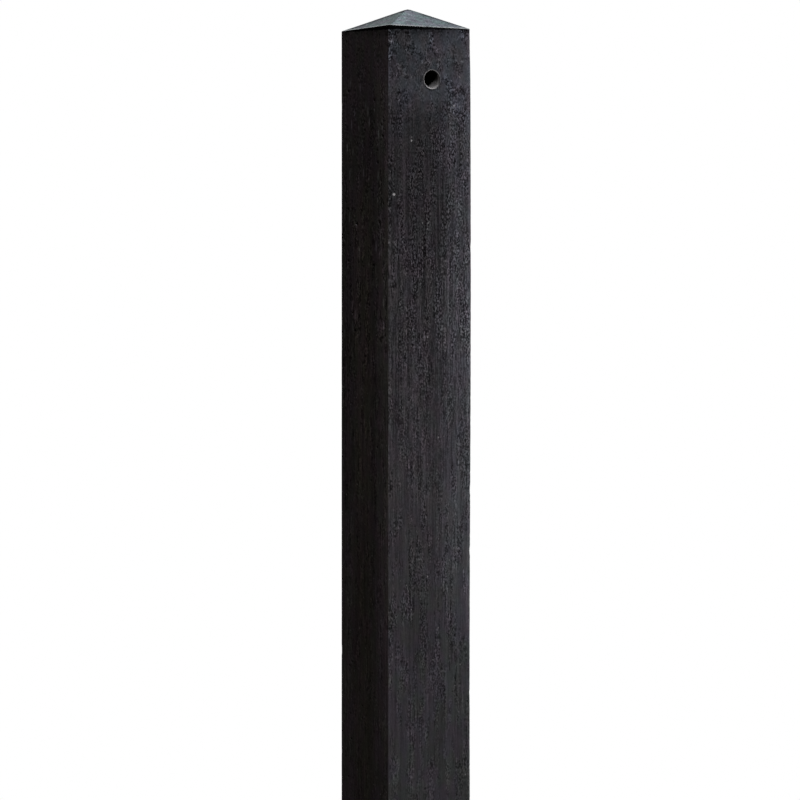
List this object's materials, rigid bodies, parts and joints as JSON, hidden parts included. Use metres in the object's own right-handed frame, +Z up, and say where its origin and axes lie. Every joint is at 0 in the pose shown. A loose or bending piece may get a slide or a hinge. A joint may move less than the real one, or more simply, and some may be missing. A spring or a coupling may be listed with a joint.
{
  "type": "concrete fence post",
  "caption": "Square cast concrete fence post with bevelled arrises, a low pyramid head and a bevelled cross hole below the head for fixing a rail, panel or tension wire.",
  "frame": {"origin": "centre of the flat foot", "axes": "+Z up along the post, -Y out of the face that shows the cross hole in the picture, +X to the right when looking at that face"},
  "size_m": [0.1, 0.1, 2.7996],
  "materials": {
    "concrete": "matte"
  },
  "bodies": {
    "root": {"post": "concrete"}
  },
  "joints": []
}
